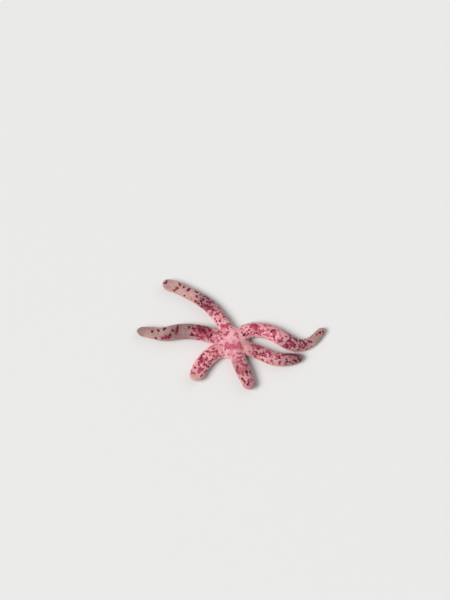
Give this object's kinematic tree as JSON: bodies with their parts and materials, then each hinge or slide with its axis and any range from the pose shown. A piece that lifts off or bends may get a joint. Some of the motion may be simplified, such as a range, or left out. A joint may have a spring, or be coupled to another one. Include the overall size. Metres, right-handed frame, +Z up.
{
  "type": "starfish, a mottled linckia sea star, as a still model",
  "caption": "Still, life-size model of a mottled pink and beige sea star with uneven finger-like arms, lying flat with its mouth down.",
  "frame": {"origin": "Middle of the bounding box in plan, on the surface that the sea star lies on.", "axes": "+Z up from that surface, away from the mouth. +X along the longest extent, towards the ends of the two arms that lie side by side. +Y towards the upper left arm."},
  "size_m": [0.1061, 0.0664, 0.0081],
  "materials": {
    "skin_inner": "matte granular skin, pink with dense crimson mottling",
    "skin_outer": "matte granular skin, beige pink with a few separate dark red spots",
    "pale_plates": "matte chalky plate, pale beige",
    "mouth_membrane": "smooth soft membrane, dull rose"
  },
  "bodies": {
    "root": {"disc": "skin_inner", "peristome": "mouth_membrane", "madreporite_1": "pale_plates", "madreporite_2": "pale_plates", "arm_upper_right_base": "skin_inner", "arm_upper_right_middle": "skin_inner", "arm_upper_right_tip": "skin_outer", "terminal_plate_upper_right": "pale_plates", "arm_upper_left_base": "skin_inner", "arm_upper_left_middle": "skin_inner", "arm_upper_left_tip": "skin_outer", "terminal_plate_upper_left": "pale_plates", "arm_left_base": "skin_inner", "arm_left_middle": "skin_inner", "arm_left_tip": "skin_outer", "terminal_plate_left": "pale_plates", "arm_lower_left_base": "skin_inner", "arm_lower_left_tip": "skin_outer", "terminal_plate_lower_left": "pale_plates", "arm_bottom_base": "skin_inner", "arm_bottom_tip": "skin_outer", "terminal_plate_bottom": "pale_plates", "arm_lower_right_base": "skin_inner", "arm_lower_right_tip": "skin_outer", "terminal_plate_lower_right": "pale_plates"}
  },
  "joints": []
}
